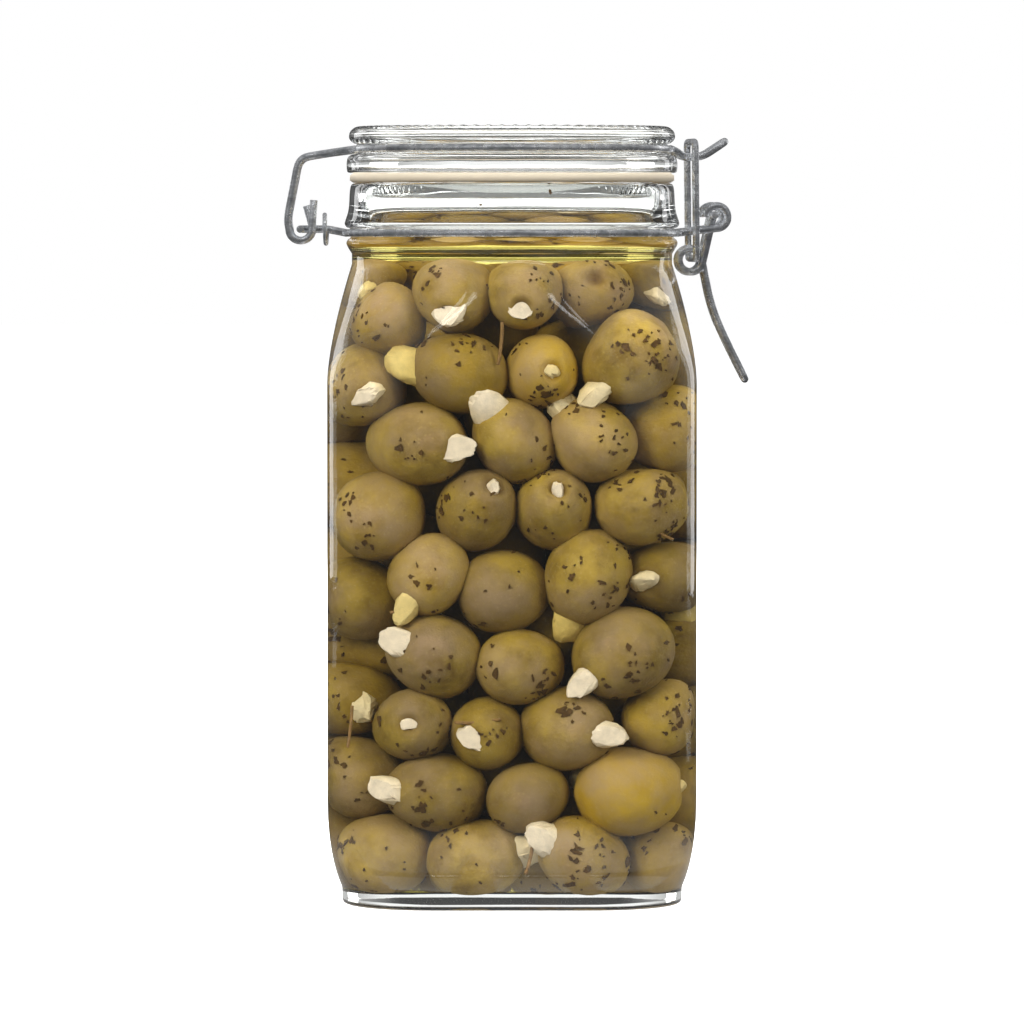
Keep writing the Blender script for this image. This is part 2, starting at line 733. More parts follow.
# The olives against the front glass: place across and up, length, width, turn of the stuffed end in
# the front plane, its lean towards the front, stuffing and whether the olive lies a little behind.
# Stuffing: w white nut, p pale nut, y oiled nut, s sliver deep in the hole, g golden olive, n none seen
FRONT = (
    (-36.5, 179.5, 24, 20.5, -156, 67, "y", 1), (-18.5, 174, 25.5, 22, -109, 62, "w", 0),
    (3.5, 175, 24, 21, -100, 75, "w", 0), (24, 173, 25.5, 22, 67, 64, "n", 0),
    (40.5, 175, 24, 20.5, -22, 60, "p", 1), (-39.5, 163, 23.5, 21.5, 113, -29, "n", 0),
    (-16, 151, 27, 22, 173, 0, "y", 0), (10, 154.5, 24, 20.5, 9, 74, "g", 0),
    (33.5, 155.5, 27.5, 24, -135, 25, "p", 0), (-43, 142, 24, 20.5, -72, 85, "w", 0),
    (-28, 131.5, 28, 24, -5, 45, "w", 0), (1, 133.5, 26.5, 22.5, 128, 27, "w", 0),
    (25, 131.5, 25.5, 22.5, 130, 0, "w", 0), (43, 138.5, 25.5, 20.5, 88, -32, "n", 1),
    (-36.5, 112.5, 25.5, 23.5, 67, -21, "n", 0), (-11.5, 114.5, 26, 22.5, 55, 46, "s", 0),
    (12, 113, 26, 22.5, 78, 61, "s", 0), (38.5, 115, 24.5, 22, 15, -27, "n", 0),
    (-42.5, 89, 24, 20.5, 99, -21, "n", 0), (-23.5, 95.5, 24.5, 21.5, -125, 26, "y", 0),
    (-2, 89, 27.5, 24, 10, -30, "n", 0), (24, 94.5, 27.5, 24, -112, 0, "y", 0),
    (44, 95, 24, 20.5, -172, 70, "w", 0), (-43, 73, 24, 20.5, 27, 79, "y", 1),
    (-22.5, 73, 28, 24, 158, 36, "w", 0), (3, 67.5, 26, 21.5, 4, -16, "n", 0),
    (29, 71.5, 28, 25, -142, 31, "w", 0), (47.5, 74.5, 24, 20.5, 85, 27, "y", 1),
    (-47, 59, 24, 20.5, -60, 77, "w", 1), (-31, 56, 24.5, 21, 157, 80, "s", 0),
    (-7.5, 48.5, 24.5, 21, -169, 68, "w", 0), (19.5, 50, 28.5, 24.5, -7, 38, "w", 0),
    (42.5, 56, 22.5, 18.5, 87, -33, "n", 0), (-43, 38, 24, 20.5, 99, -33, "n", 1),
    (-24, 35, 30, 22.5, 174, 28, "w", 0), (6, 33, 25.5, 19.5, 17, -31, "n", 0),
    (34, 36, 28, 25.5, 4, -16, "g", 0), (47.5, 35, 24, 20.5, 95, -25, "n", 1),
    (-37.5, 19, 24.5, 22, 20, -20, "n", 0), (-13.5, 16.5, 28.5, 21.5, 8, 6, "w", 0),
    (20, 17, 27.5, 21.5, 155, 32, "w", 0), (42.5, 16.5, 20.5, 18.5, 114, -16, "n", 0),
)


def lay_out(finish):
    """Every olive's place, direction, size and stuffing, before the heap has settled."""
    chance = np.random.default_rng(finish.seed)
    places, ways, sizes, kinds, hold = [], [], [], [], []
    for x, z, length, width, turn, lean, kind, behind in FRONT:
        turn, lean = math.radians(turn), math.radians(lean)
        ways.append((math.cos(turn) * math.cos(lean), -math.sin(lean), math.sin(turn) * math.cos(lean)))
        depth = -in_half(z, WALL_T) + width / 2 + (BEHIND if behind else 0.5)
        places.append((x, depth, z))
        sizes.append((length, width))
        kinds.append(kind)
        hold.append((0.55 if abs(x) > EDGE_X else 0.04, 1.0, 0.04 if abs(x) < EDGE_X else 0.12))
    more = finish.count - len(FRONT)
    for k in range(more):
        z = 16 + 158 * ((k + 0.5) / more)
        half = in_half(z, WALL_T) - 12
        places.append((chance.uniform(-half, half), chance.uniform(-half + 20, half), z))
        way = chance.normal(size=3)
        ways.append(unit(way))
        length = chance.uniform(23.5, 28.5)
        sizes.append((length, length * chance.uniform(0.82, 0.91)))
        kinds.append("wwpynnnsng"[chance.integers(10)])
        hold.append((1.0, 1.0, 1.0))
    return np.array(places), np.array(ways), np.array(sizes), kinds, np.array(hold)


def wall_push(points, radius):
    """How far balls at these points must move to lie inside the glass and under the heap's top."""
    z = np.clip(points[:, 2], BASE_T + 1, WAIST_Z)
    half = out_half(z) - WALL_T - 0.3
    corner = np.minimum(np.maximum(out_corner(z) - WALL_T * (1 - rise(z)), 4), half)
    signs = np.where(points[:, :2] < 0, -1.0, 1.0)
    out = np.abs(points[:, :2]) - (half - corner)[:, None]
    both = (out > 0).all(axis=1)
    far = np.linalg.norm(out, axis=1) + 1e-9
    on_side = (out == out.max(axis=1)[:, None]) * 1.0
    normal = np.where(both[:, None], out / far[:, None], on_side) * signs
    gap = corner - np.where(both, far, out.max(axis=1))
    push = np.zeros_like(points)
    push[:, :2] = -normal * np.maximum(radius - gap, 0)[:, None]
    push[:, 2] += np.maximum(BASE_T + 0.4 + radius - points[:, 2], 0)
    push[:, 2] -= np.maximum(points[:, 2] + radius - HEAP_Z - 0.3, 0)
    return push


def settle(places, ways, sizes, hold):
    """Moves the olives apart and off the glass until they lie snugly; each is three balls in a row."""
    count = len(places)
    reach = sizes[:, 0] / 2 - sizes[:, 1] / 2 * END_BALL
    share = np.array((-1.0, 0.0, 1.0))
    offsets = ways[:, None, :] * reach[:, None, None] * share[None, :, None]
    radius = sizes[:, 1:] / 2 * np.array((END_BALL, MID_BALL, END_BALL))
    owner = np.repeat(np.arange(count), 3)
    other = owner[:, None] != owner[None, :]
    for step in range(SETTLE_STEPS):
        grow = np.where(hold[:, :1] < 1, 1.0, min(0.6 + step / 220, 1.0))
        r = (radius * grow).ravel()
        balls = (places[:, None, :] + offsets).reshape(-1, 3)
        apart = balls[:, None, :] - balls[None, :, :]
        far = np.sqrt((apart ** 2).sum(axis=2)) + 1e-6
        over = np.maximum(r[:, None] + r[None, :] - far, 0) * other
        push = (apart * (over / far)[:, :, None]).sum(axis=1) * 0.3
        push += wall_push(balls, r) * 0.8
        move = push.reshape(count, 3, 3).sum(axis=1) * hold
        move = np.clip(move, -2.5, 2.5)
        drift = np.zeros_like(places)
        if step < DRIFT_STEPS:
            drift[: len(FRONT), 1] = -0.12
        places = places + move + drift
    return places


def olive_points(place, way, size, lumps, rings, sides):
    """Points of one olive, ring by ring from the stuffed end, with the angle from that end."""
    angle = np.linspace(0, math.pi, rings + 2)
    turn = turns_round(sides)
    angle, turn = np.meshgrid(angle[1:-1], turn, indexing="ij")
    angle = np.concatenate([[0], angle.ravel(), [math.pi]])
    turn = np.concatenate([[0], turn.ravel(), [0]])
    x = np.cos(angle)
    flat = np.sin(angle) ** 0.94
    y = flat * np.cos(turn)
    z = flat * np.sin(turn)
    swell = np.ones_like(x)
    for a, b, c, phase, height in lumps:
        swell += height * np.sin(a * x + b * y + c * z + phase)
    x = x - 0.2 * np.exp(-np.square(angle / 0.2)) - 0.05 * np.exp(-np.square((math.pi - angle) / 0.16))
    girth = (1 - 0.06 * x) * size[1] / 2 * swell
    body = np.stack([x * size[0] / 2 * swell, y * girth, z * girth], 1)
    side, up = square_to(way, (0.3, 0.2, 0.93) if abs(way[2]) < 0.8 else (1.0, 0.1, 0))
    return place + body @ np.stack([way, side, up]), angle


def olive_faces(rings, sides, start):
    faces = []
    for i in range(sides):
        j = (i + 1) % sides
        faces.append((start, start + 1 + i, start + 1 + j))
        for k in range(rings - 1):
            a = start + 1 + k * sides
            faces.append((a + i, a + sides + i, a + sides + j, a + j))
        end = start + 1 + (rings - 1) * sides
        faces.append((end + j, end + i, start + 1 + rings * sides))
    return faces


class Heap:
    """The settled olives, shared by the operators that make the olives, nuts and herbs."""
    places = ways = sizes = kinds = lumps = None


def settled_heap(finish):
    if Heap.places is None:
        places, Heap.ways, Heap.sizes, Heap.kinds, hold = lay_out(finish)
        Heap.places = settle(places, Heap.ways, Heap.sizes, hold)
        chance = np.random.default_rng(finish.seed + 1)
        Heap.lumps = []
        for _ in Heap.kinds:
            waves = chance.uniform(1.2, 3.4, (4, 3)) * chance.choice((-1, 1), (4, 3))
            phases = chance.uniform(0, 6.28, (4, 1))
            heights = chance.uniform(0.004, 0.011, (4, 1))
            Heap.lumps.append(np.hstack([waves, phases, heights]))
    return Heap


def depth_inside(places):
    """How far points lie from the glass, the floor or the heap's top."""
    half = out_half(np.clip(places[:, 2], BASE_CURVE_H, WAIST_Z)) - WALL_T
    sides = half - np.abs(places[:, :2]).max(axis=1)
    corner = half * 1.32 - np.linalg.norm(places[:, :2], axis=1)
    return np.minimum.reduce([sides, corner, places[:, 2] - BASE_T, HEAP_Z - places[:, 2]])


def build_olives(finish, body):
    heap = settled_heap(finish)
    chance = np.random.default_rng(finish.seed + 2)
    depth = depth_inside(heap.places)
    points, faces, tone, gold, cut = [], [], [], [], []
    start = 0
    for k, kind in enumerate(heap.kinds):
        rings, sides = FINE_OLIVE if depth[k] < 24 else PLAIN_OLIVE
        cloud, angle = olive_points(heap.places[k], heap.ways[k], heap.sizes[k], heap.lumps[k], rings, sides)
        points.append(cloud)
        faces += olive_faces(rings, sides, start)
        tone.append(np.full(len(cloud), chance.uniform(0, 1)))
        golden = 0.6 if kind == "g" else max(chance.normal(0.04, 0.14), 0)
        gold.append(np.full(len(cloud), golden))
        cut.append(0.85 * np.exp(-np.square(angle / 0.24)))
        start += len(cloud)
    olives = new_piece(
        "olives_stuffed", np.concatenate(points), faces, olive_skin(finish), body,
        {"tone": np.concatenate(tone), "gold": np.concatenate(gold), "cut": np.concatenate(cut)})
    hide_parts("olives")
    return olives


def build_core(finish, body):
    """The lumpy dark inside of the heap, behind the olives."""
    rings = []
    for k in range(33):
        z = 15 + 150 * k / 32
        ends = math.sqrt(max(1 - abs(2 * k / 32 - 1) ** 8, 0.04))
        ring = outline(20 * ends, 13 * ends, z, 48)
        turn = np.arctan2(ring[:, 1], ring[:, 0])
        lumps = 1 + 0.09 * np.sin(3 * turn + z * 0.21) * np.cos(5 * turn - z * 0.13)
        ring[:, :2] *= lumps[:, None]
        rings.append(ring)
    points, faces = skin(rings, (0, 0, 14.5), (0, 0, 165.5))
    dark = dried_herb("Heap inside", HEAP_DARK, 0.5, 90.0)
    return new_piece("olives_core", points, faces, dark, body)


def nut_hull(chance, length, width, thick):
    """A broken piece of nut: a tapered block with flat, chipped faces, pointing along +X."""
    cloud = []
    for along, room in ((0, 0.9), (0.35, 1.0), (0.62, 0.92), (0.84, 0.7), (1.0, 0.36)):
        for k in range(5):
            turn = (k + chance.uniform(-0.35, 0.35)) * 1.2566 + along * 2
            reach = room * chance.uniform(0.86, 1.06)
            far = length * min(along * chance.uniform(0.9, 1.08), 1.04)
            cloud.append((far, width / 2 * reach * math.cos(turn), thick / 2 * reach * math.sin(turn)))
    shape = bmesh.new()
    for one in cloud:
        shape.verts.new(one)
    made = bmesh.ops.convex_hull(shape, input=shape.verts)
    loose = [item for item in made["geom_interior"] if isinstance(item, bmesh.types.BMVert)]
    bmesh.ops.delete(shape, geom=loose, context="VERTS")
    bmesh.ops.subdivide_edges(shape, edges=list(shape.edges), cuts=2, use_grid_fill=True, smooth=0.35)
    waves = chance.uniform(0.8, 2.6, (3, 3))
    for v in shape.verts:
        push = 0.17 * sum(math.sin(a * v.co.x + b * v.co.y + c * v.co.z + 9 * a) for a, b, c in waves)
        v.co += v.co.normalized() * push + Vector(chance.normal(0, 0.07, 3))
    shape.verts.index_update()
    points = np.array([tuple(v.co) for v in shape.verts])
    faces = [tuple(v.index for v in face.verts) for face in shape.faces]
    shape.free()
    return points, faces


def build_nuts(finish, body):
    heap = settled_heap(finish)
    chance = np.random.default_rng(finish.seed + 3)
    parts = []
    for k, kind in enumerate(heap.kinds):
        if kind not in "wpysg":
            continue
        length, width, thick = chance.uniform(12, 14.5), chance.uniform(9.5, 12), chance.uniform(7, 9)
        out = chance.uniform(5.4, 7)
        if kind == "s":
            length, width, thick, out = 9.0, 7.2, 4.4, 0.9
        elif kind == "g":
            length, width, thick, out = 7.0, 7.0, 5.0, 0.4
        elif abs(heap.ways[k][1]) > 0.75:
            out = 3.0
        points, faces = nut_hull(chance, length, width, thick)
        way = heap.ways[k]
        side, up = square_to(way, chance.normal(size=3))
        tip = heap.places[k] + way * (heap.sizes[k][0] / 2 + out - length)
        points = tip + points @ np.stack([way, side, up])
        for _ in range(3):
            points = points + wall_push(points, 0.15)
        oily = {"y": 0.9, "g": 0.7, "p": 0.3}.get(kind, 0.08)
        parts.append((points, faces, np.full(len(points), oily)))
    points, faces, oily = join(parts)
    nuts = new_piece("almond_stuffing", points, faces, nut_flesh(finish), body, {"oily": oily})
    nuts.data.set_sharp_from_angle(angle=0.5)
    return nuts


def flake(chance, centre, normal, size):
    """A thin, curled, uneven leaf flake lying on a surface."""
    side, up = square_to(normal, chance.normal(size=3))
    count = 8
    turn = turns_round(count) + chance.uniform(-0.3, 0.3, count)
    reach = size / 2 * chance.uniform(0.35, 1.3, count)
    narrow = chance.uniform(0.4, 0.9)
    flat = np.outer(np.cos(turn) * reach, side) + np.outer(np.sin(turn) * reach * narrow, up)
    curl = chance.uniform(-0.05, 0.22, count)
    top = centre + flat + np.outer(0.14 + curl, normal)
    low = centre + flat * 0.9 + np.outer(curl - 0.1, normal)
    points = np.concatenate([top, low])
    faces = [tuple(range(count)), tuple(range(2 * count - 1, count - 1, -1))]
    for i in range(count):
        j = (i + 1) % count
        faces.append((i, i + count, j + count, j))
    return points, faces, np.zeros(len(points))


# Flakes on the wall above the oil and floating on it
LOOSE_FLAKES = (
    (-8.7, -36.0, 200.5), (10.5, -40.5, 204.5), (-33.0, -22.0, 190.4), (-11.5, -30.0, 190.3),
    (22.5, -34.0, 190.5), (5.0, 12.0, 190.6), (-20.0, 25.0, 190.5),
)

# Stems against the front glass: place across and up, turn and length
STEMS = (
    (-9.8, 54.5, 4, 13), (5.0, 16.5, 78, 11), (-3.4, 161.5, 84, 12), (-45.0, 52.5, 80, 12),
    (-31.0, 86.5, 20, 7), (40.5, 108.0, -30, 9),
)


def build_herbs(finish, body):
    """Flakes in clumps on the olives nearest the glass, and stems against the front glass."""
    heap = settled_heap(finish)
    chance = np.random.default_rng(finish.seed + 4)
    depth = depth_inside(heap.places)
    outer = [k for k in range(len(heap.kinds)) if depth[k] < 20]
    clouds = {}
    for k in outer:
        clouds[k] = olive_points(heap.places[k], heap.ways[k], heap.sizes[k], heap.lumps[k], *FINE_OLIVE)[0]
    parts = []
    while len(parts) < finish.flakes:
        k = outer[len(parts) % len(outer)]
        place = heap.places[k]
        seen = np.array((place[0], place[1], (place[2] - 95) * 0.15))
        way = seen / (np.linalg.norm(seen) + 1e-6) + chance.normal(0, 0.75, 3)
        way = unit(way)
        spread = chance.uniform(0.08, 0.42)
        for _ in range(chance.integers(2, 9)):
            aim = way + chance.normal(0, spread, 3)
            axis = heap.ways[k]
            half = heap.sizes[k] / 2
            cloud = clouds[k] - place
            spot = cloud[np.argmax(cloud @ aim / np.linalg.norm(cloud, axis=1))]
            on_axis = spot.dot(axis)
            normal = unit(axis * (on_axis / half[0] ** 2) + (spot - axis * on_axis) / half[1] ** 2)
            shift = np.cross(normal, chance.normal(0, 0.4, 3))
            size = chance.choice((0.9, 1.4, 2.0, 2.6, 3.3), p=(0.24, 0.3, 0.25, 0.14, 0.07))
            parts.append(flake(chance, place + spot + shift + normal * 0.03, normal, size))
    for spot in LOOSE_FLAKES:
        parts.append(flake(chance, np.array(spot), np.array((0.1, -0.4, 0.9)), 2.0))
    points, faces, _ = join(parts)
    leaf = dried_herb("Dried herb", finish.herb, 0.5, 500.0)
    herbs = new_piece("herb_flakes", points, faces, leaf, body, None, False)
    stems = []
    for x, z, turn, length in STEMS:
        middle = np.array((x, -in_half(z, WALL_T) + (1.6 if abs(x) < 34 else 8.0), z))
        way = np.array((math.cos(math.radians(turn)), 0.12, math.sin(math.radians(turn))))
        bend = np.array((0.3, 0.2, -0.5))
        path = [middle + way * length * s + bend * (1 - 4 * s * s) for s in np.linspace(-0.5, 0.5, 7)]
        stems.append(wire(path, 0.9 + 0.2 * chance.uniform(), 7))
    points, faces, along = join(stems)
    stem = dried_herb("Herb stem", STEM, 0.55, 600.0)
    new_piece("herb_stems", points, faces, stem, body, {"along": along})
    return herbs


# ---- operators, one for each piece or group of like pieces ----

class JarOperator:
    bl_options = {"REGISTER", "UNDO"}

    def done(self, name):
        if name not in bpy.data.objects:
            raise RuntimeError(f"{name} was not made")
        return {"FINISHED"}


class OLIVEJAR_OT_jar(JarOperator, bpy.types.Operator):
    """Blow the square jar with its round neck, two beads and hollow base"""
    bl_idname = "olivejar.jar"
    bl_label = "Glass jar"

    def execute(self, context):
        finish = context.scene.jar_glass
        recess = finish.recess / MM
        count = OUTSIDE_COUNT
        outside = []
        hollow = ((0.5, recess), (0.84, recess), (0.9, recess * 0.75), (0.94, recess * 0.2), (0.965, 0))
        for share, up in hollow:
            outside.append(outline(foot_half(0.0) * share, out_corner(0.0) * share, up, count))
        heights = [
            0.0, 0.1, 0.3, 0.6, 1.0, 1.5, 2.5, 4, 5.2, 5.9, 7.4, 9.6, 12.4, 16, 20, 25, 30, 42, 60, 80,
            100, 120, 138]
        for z in heights + [SHOULDER_Z + SHOULDER_H * k / 22 for k in range(23)]:
            half = max(out_half(z), foot_half(z))
            outside.append(outline(half, out_corner(z), z, count))
        neck = soften([
            (WAIST_R, 187), (47.6, 188.9), (48.1, 190.1), (47.6, 191.1), (46.7, 191.7), (46.7, 194.3),
            (48, 194.6), (48.6, 195.7), (48.1, 197.1), (47.2, 200), (47, 206.3), (46, RIM_Z),
            (43.3, RIM_Z), (MOUTH_R, 206.5), (MOUTH_R, 203), (MOUTH_R, 192), (MOUTH_R, 188)])
        for radius, z in neck:
            outside.append(outline(radius, radius, z, count))
        inside = []
        down = [SHOULDER_Z + SHOULDER_H * k / 18 for k in range(18, -1, -1)]
        down += [
            138, 120, 100, 80, 60, 42, 32, 26, 20.5, 16, 14.5, 12.5, 10.6, 9, 7.8, 6.9, 6.3, 5.9, 5.65,
            BASE_T]
        for z in down:
            wave = 0.16 * np.sin(z * 0.09 + np.arange(count) * 4 * math.pi / count)
            ring = outline(in_half(z, WALL_T), in_corner(z, WALL_T), z, count)
            out = np.linalg.norm(ring[:, :2], axis=1)
            ring[:, :2] *= (1 + wave * min(max(WAIST_Z - z, 0) / 30, 1) / out)[:, None]
            inside.append(ring)
        points, faces = skin(outside + inside, (0, 0, recess), (0, 0, BASE_T))
        glass = clear_glass("Jar glass", finish, 38.0)
        jar = new_piece("jar_glass", points, faces, glass, "jar_body")
        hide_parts("jar")
        return self.done("jar_glass")


class OLIVEJAR_OT_lid(JarOperator, bpy.types.Operator):
    """Press the glass lid with its wire groove, plug rim and ring of fine ridges"""
    bl_idname = "olivejar.lid"
    bl_label = "Glass lid"

    def execute(self, context):
        edge = LID_Z + 5.4
        disc = edge + 3.2
        plug = MOUTH_R - 1.6
        low = LID_Z - 7.6
        profile = [
            (0, LID_Z - 1.2), (12, LID_Z - 1.2), (plug - 9, LID_Z - 1.6), (plug - 5, low + 1),
            (plug - 4, low), (plug - 1, low), (plug, low + 1), (plug, LID_Z), (LID_R - 0.6, LID_Z),
            (LID_R, LID_Z + 0.6),
            (LID_R, edge - 1.2), (LID_R - 1.2, edge), (LID_R - 3.2, edge + 0.2), (LID_R - 3.2, disc - 0.2),
            (LID_R - 2, disc), (LID_R - 0.9, disc + 1), (LID_R - 0.6, disc + 2), (LID_R - 1, LID_TOP - 1.4),
            (LID_R - 2.4, LID_TOP - 0.4), (LID_R - 3.6, LID_TOP - 0.3), (LID_R - 8.6, LID_TOP - 0.3),
            (LID_R - 10.6, LID_TOP - 1.6), (12, LID_TOP - 1.3), (0, LID_TOP - 1.2)]
        points, faces = turned_round(soften(profile), 432)
        reach = np.linalg.norm(points[:, :2], axis=1)
        turn = np.arctan2(points[:, 1], points[:, 0])
        ridge = np.clip(np.sin(turn * 72) * 1.6, 0, 1)
        on_top = (points[:, 2] > LID_TOP - 1.0) * np.exp(-np.square((reach - LID_R + 4.6) / 2.2))
        points[:, 2] = np.minimum(points[:, 2] + ridge * on_top * 0.3, LID_TOP)
        glass = clear_glass("Lid glass", context.scene.jar_glass, 60.0)
        lid = new_piece("lid_glass", points, faces, glass, "jar_body")
        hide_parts("lid")
        return self.done("lid_glass")


class OLIVEJAR_OT_seal(JarOperator, bpy.types.Operator):
    """Cut the flat rubber ring with its pull tab"""
    bl_idname = "olivejar.seal"
    bl_label = "Rubber seal"

    def execute(self, context):
        count = 180
        turns = turns_round(count)
        tab_turn = math.radians(CLASP_TURN + 16)
        away = np.abs((turns - tab_turn + math.pi) % (2 * math.pi) - math.pi)
        tab = np.sqrt(np.maximum(25 - np.square(away * 44), 0))
        outer = np.maximum(MOUTH_R + 4.6, MOUTH_R + 1.6 + tab)
        wave = 0.08 * np.sin(turns * 5)
        sides = ((0.0, 0.3), (0.3, 0.0), (1.0, 0.0), (1.0, 1.0), (0.3, 1.0), (0.0, 0.7))
        rings = []
        inner = MOUTH_R - 0.6
        for share, up in soften(sides, 1):
            radius = inner + (outer - inner) * share
            height = RIM_Z + GASKET_T * np.clip(up, 0.02, 0.98) + wave * (1 - abs(2 * up - 1))
            rings.append(ring_at(radius, turns, height))
        faces = []
        for k in range(len(rings)):
            faces += band(k * count, (k + 1) % len(rings) * count, count)
        rubber = seal_rubber(context.scene.jar_glass)
        seal = new_piece("seal_ring", np.concatenate(rings), faces, rubber, "jar_body")
        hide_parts("gasket")
        return self.done("seal_ring")


def bent_wire(name, path, width, zinc, body="jar_body"):
    """A piece of wire, with the distance along it kept for the streaks of its finish."""
    points, faces, along = wire(path, width)
    return new_piece(name, points, faces, zinc, body, {"along": along})


def shared_zinc(context):
    return bpy.data.materials.get("Zinc wire") or zinc_wire(context.scene.jar_wire)


class OLIVEJAR_OT_neck_wires(JarOperator, bpy.types.Operator):
    """Bend the two wires round the neck and bind their tails with a collar"""
    bl_idname = "olivejar.neck_wires"
    bl_label = "Neck wires"

    def execute(self, context):
        zinc = shared_zinc(context)
        width = context.scene.jar_wire.width / MM
        for side, place in ((-1, "front"), (1, "back")):
            piece = bent_wire("wire_neck_" + place, neck_wire_path(side), width, zinc)
            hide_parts("neck_wire_" + place)
        radius = TAIL_Y + width / 2 + COLLAR_WIRE / 2 + 0.2
        turns = np.radians(np.arange(0, 375, 7.5))
        coil = []
        for turn in turns:
            x = -COLLAR_X - 0.6 + 0.35 * (turn / math.pi - 1)
            coil.append(np.array((x, radius * math.cos(turn), HINGE_Z + radius * math.sin(turn))))
        collar = bent_wire("wire_collar", coil, COLLAR_WIRE, zinc)
        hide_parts("hinge_collar")
        return self.done("wire_collar")


class OLIVEJAR_OT_lid_wire(JarOperator, bpy.types.Operator):
    """Bend the wire that hinges at the back tail, runs round the lid and ends in the clasp's tongue"""
    bl_idname = "olivejar.lid_wire"
    bl_label = "Lid wire"

    def execute(self, context):
        path = lid_wire_half(-1) + lid_wire_half(1)[::-1][1:]
        piece = bent_wire("wire_lid", path, context.scene.jar_wire.width / MM, shared_zinc(context))
        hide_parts("lid_wire")
        return self.done("wire_lid")


class OLIVEJAR_OT_clasp(JarOperator, bpy.types.Operator):
    """Bend the clasp's lever with its two eyes, and the link that hooks over the tongue"""
    bl_idname = "olivejar.clasp"
    bl_label = "Clasp"

    def execute(self, context):
        zinc = shared_zinc(context)
        width = context.scene.jar_wire.width / MM
        path = to_clasp(lever_half(-1) + lever_half(1)[::-1][1:])
        lever = bent_wire("clasp_handle", path, width, zinc, "clasp_lever")
        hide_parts("lever")
        frame_path = round_off([
            (BAR_X, 0, BAR_Z), (BAR_X, -LINK_Y, BAR_Z), (TONGUE_X, -LINK_Y, CROSS_Z),
            (TONGUE_X, LINK_Y, CROSS_Z), (BAR_X, LINK_Y, BAR_Z), (BAR_X, 0.02, BAR_Z)], 2.6)
        link = bent_wire("clasp_frame", to_clasp(frame_path), LINK_D + 0.08, zinc, "clasp_link")
        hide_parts("link")
        return self.done("clasp_frame")


class OLIVEJAR_OT_oil(JarOperator, bpy.types.Operator):
    """Pour the oil: it reaches just into the glass and climbs it at the top"""
    bl_idname = "olivejar.oil"
    bl_label = "Oil"

    def execute(self, context):
        finish = context.scene.jar_oil
        climb = finish.meniscus / MM
        into = OIL_INTO_GLASS
        count = 144
        rings = []
        heights = [BASE_T - into + 0.02, 5.4, 5.9, 6.6, 7.6, 9, 10.6, 12.5, 15, 20, 26, 32, 50, 75, 100, 125]
        for z in heights + [SHOULDER_Z + SHOULDER_H * k / 16 for k in range(17)]:
            half = in_half(max(z, BASE_T), WALL_T - into)
            rings.append(outline(half, np.minimum(in_corner(max(z, BASE_T), WALL_T - into), half), z, count))
        for out, z in ((into, WAIST_Z + 4), (into, LEVEL_Z + climb), (-0.1, LEVEL_Z + climb),
                       (-0.5, LEVEL_Z + climb * 0.6), (-1.2, LEVEL_Z + climb * 0.25), (-2.4, LEVEL_Z + 0.04),
                       (-4, LEVEL_Z), (-12, LEVEL_Z), (-26, LEVEL_Z)):
            rings.append(outline(MOUTH_R + out, MOUTH_R + out, z, count))
        points, faces = skin(rings, (0, 0, BASE_T - into), (0, 0, LEVEL_Z))
        oil = new_piece("oil_fill", points, faces, herb_oil(finish), "jar_body")
        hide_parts("oil")
        return self.done("oil_fill")


class OLIVEJAR_OT_olives(JarOperator, bpy.types.Operator):
    """Fill the jar with pitted olives and the dark inside of the heap"""
    bl_idname = "olivejar.olives"
    bl_label = "Olives"

    def execute(self, context):
        build_olives(context.scene.jar_olives, "jar_body")
        build_core(context.scene.jar_olives, "jar_body")
        return self.done("olives_core")


class OLIVEJAR_OT_nuts(JarOperator, bpy.types.Operator):
    """Push broken nuts into the pitted ends of the olives"""
    bl_idname = "olivejar.nuts"
    bl_label = "Nut stuffing"

    def execute(self, context):
        build_nuts(context.scene.jar_olives, "jar_body")
        return self.done("almond_stuffing")


class OLIVEJAR_OT_herbs(JarOperator, bpy.types.Operator):
    """Scatter herb flakes over the olives, with a few stems and floating bits"""
    bl_idname = "olivejar.herbs"
    bl_label = "Herbs"

    def execute(self, context):
        build_herbs(context.scene.jar_olives, "jar_body")
        return self.done("herb_flakes")


def mirrored_once(tree, path):
    """1 for light mirrored once on its way; light that bounces on inside the glass leaves it bright."""
    once, give = 1.0, 0.4
    return reckon(tree, "COMPARE", path["Glossy Depth"], once, give)


def white_room(scene, strength):
    """Plain white room: white behind the glass, softer and banded where glass and wire mirror it."""
    world = bpy.data.worlds.new("White room")
    scene.world = world
    world.use_nodes = True
    tree = world.node_tree
    tree.nodes.clear()
    way = node(tree, "ShaderNodeTexCoord").outputs["Generated"]
    apart = node(tree, "ShaderNodeSeparateXYZ", {0: way}).outputs
    diagonal = reckon(tree, "ABSOLUTE", reckon(tree, "MULTIPLY", apart["X"], apart["Y"]))
    through = ranged(tree, diagonal, 1.0, 0.55, 0.2, 0.5, "SMOOTHSTEP")
    overhead = ranged(tree, apart["Z"], 0.06, 0.3, 0.2, 0.95, "SMOOTHSTEP")
    corners = ranged(tree, diagonal, 0.0, 0.22, 0.1, 0.4, "SMOOTHSTEP")
    path = node(tree, "ShaderNodeLightPath").outputs
    picked = None
    for ray, light in (
            (None, strength), (path["Is Transmission Ray"], through),
            (mirrored_once(tree, path), reckon(tree, "ADD", overhead, corners)),
            (path["Is Camera Ray"], 1.0)):
        sockets = {"Color": (1.0, 1.0, 1.0, 1.0), "Strength": light}
        lamp = node(tree, "ShaderNodeBackground", sockets).outputs[0]
        if picked is not None:
            lamp = node(tree, "ShaderNodeMixShader", {0: ray, 1: picked, 2: lamp}).outputs[0]
        picked = lamp
    node(tree, "ShaderNodeOutputWorld", {"Surface": picked})


